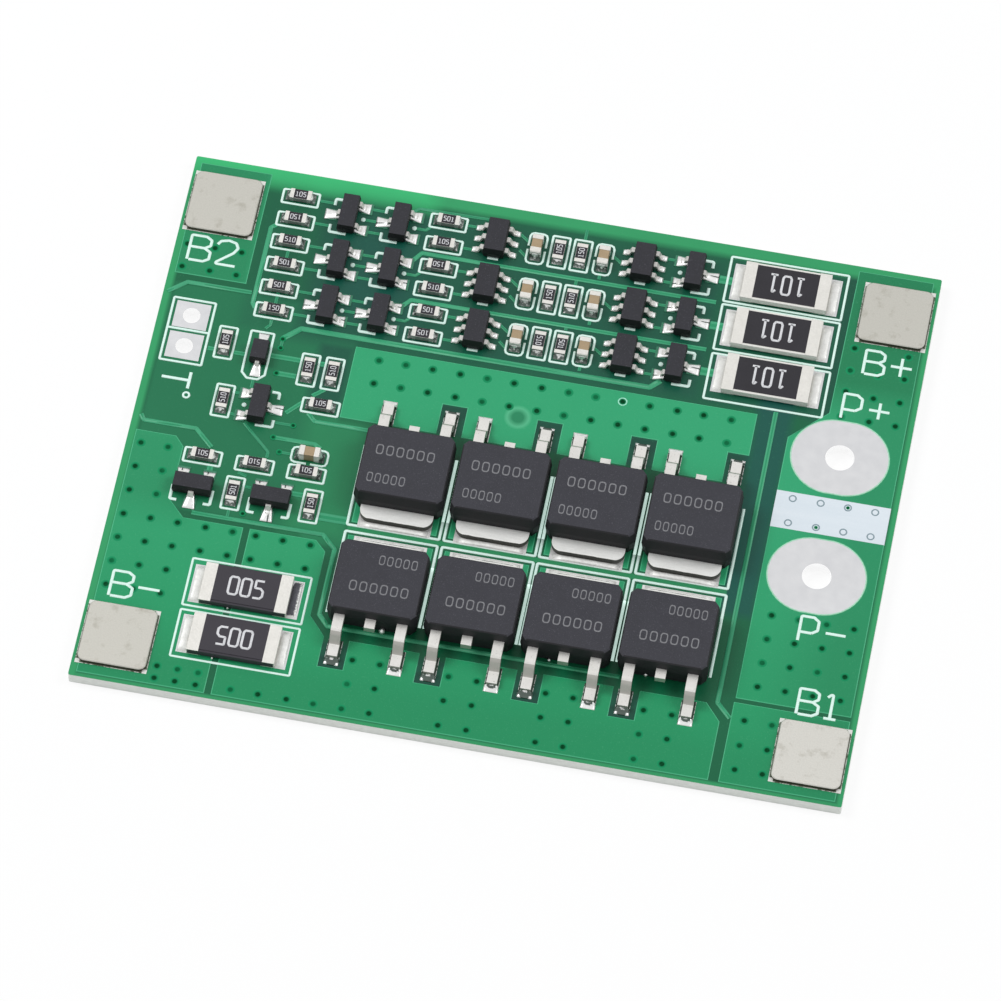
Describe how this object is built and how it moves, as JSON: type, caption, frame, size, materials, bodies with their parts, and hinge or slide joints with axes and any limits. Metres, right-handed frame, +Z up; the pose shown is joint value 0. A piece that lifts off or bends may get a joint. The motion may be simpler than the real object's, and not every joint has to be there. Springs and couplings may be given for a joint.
{
  "type": "battery management board",
  "caption": "Flat circuit board with corner weld tabs, rows of power transistors, current-sensing resistors and holed output pads; guards and balances a battery pack.",
  "frame": {"origin": "on the underside, below the middle of the board's outline", "axes": "+X along the long side towards the output pads, +Y across the board from the current shunts towards the balancing rows, +Z up out of the fitted side"},
  "size_m": [0.056, 0.045, 0.0033],
  "materials": {
    "masked_laminate": "green solder mask on glass-fibre laminate",
    "tinned_copper": "tinned copper land, satin",
    "nickel_tab": "nickel strip, brushed and slightly scuffed",
    "moulded_case": "moulded epoxy, dark grey, fine matt",
    "tinned_lead": "tinned lead frame, satin",
    "resistor_ceramic": "white ceramic",
    "resistor_glaze": "black glaze",
    "capacitor_ceramic": "tan fired ceramic",
    "tinned_end": "tinned end metal, satin"
  },
  "bodies": {
    "root": {"balance_chip_1_case": "moulded_case", "balance_chip_1_leads": "tinned_lead", "balance_chip_2_case": "moulded_case", "balance_chip_2_leads": "tinned_lead", "balance_chip_3_case": "moulded_case", "balance_chip_3_leads": "tinned_lead", "balance_resistor_coats": "resistor_glaze", "balance_resistor_cores": "resistor_ceramic", "balance_resistor_ends": "tinned_end", "balance_transistor_cases": "moulded_case", "balance_transistor_leads": "tinned_lead", "capacitor_bodies": "capacitor_ceramic", "capacitor_ends": "tinned_end", "cell_tab_b1": "nickel_tab", "cell_tab_b2": "nickel_tab", "cell_tab_b_minus": "nickel_tab", "cell_tab_b_plus": "nickel_tab", "cell_tab_lands": "tinned_copper", "chip_lands": "tinned_copper", "chip_resistor_coats": "resistor_glaze", "chip_resistor_cores": "resistor_ceramic", "chip_resistor_ends": "tinned_end", "circuit_board": "masked_laminate", "driver_transistor_cases": "moulded_case", "driver_transistor_leads": "tinned_lead", "gate_diode_case": "moulded_case", "gate_diode_leads": "tinned_lead", "level_transistor_cases": "moulded_case", "level_transistor_leads": "tinned_lead", "output_pad_negative": "tinned_copper", "output_pad_positive": "tinned_copper", "power_resistor_lands": "tinned_copper", "power_transistor_1_case": "moulded_case", "power_transistor_1_leads": "tinned_lead", "power_transistor_2_case": "moulded_case", "power_transistor_2_leads": "tinned_lead", "power_transistor_3_case": "moulded_case", "power_transistor_3_leads": "tinned_lead", "power_transistor_4_case": "moulded_case", "power_transistor_4_leads": "tinned_lead", "power_transistor_5_case": "moulded_case", "power_transistor_5_leads": "tinned_lead", "power_transistor_6_case": "moulded_case", "power_transistor_6_leads": "tinned_lead", "power_transistor_7_case": "moulded_case", "power_transistor_7_leads": "tinned_lead", "power_transistor_8_case": "moulded_case", "power_transistor_8_leads": "tinned_lead", "power_transistor_lands": "tinned_copper", "protection_chip_1_case": "moulded_case", "protection_chip_1_leads": "tinned_lead", "protection_chip_2_case": "moulded_case", "protection_chip_2_leads": "tinned_lead", "protection_chip_3_case": "moulded_case", "protection_chip_3_leads": "tinned_lead", "shunt_resistor_coats": "resistor_glaze", "shunt_resistor_cores": "resistor_glaze", "shunt_resistor_ends": "tinned_end", "small_package_lands": "tinned_copper", "thermistor_pads": "tinned_copper"}
  },
  "joints": []
}
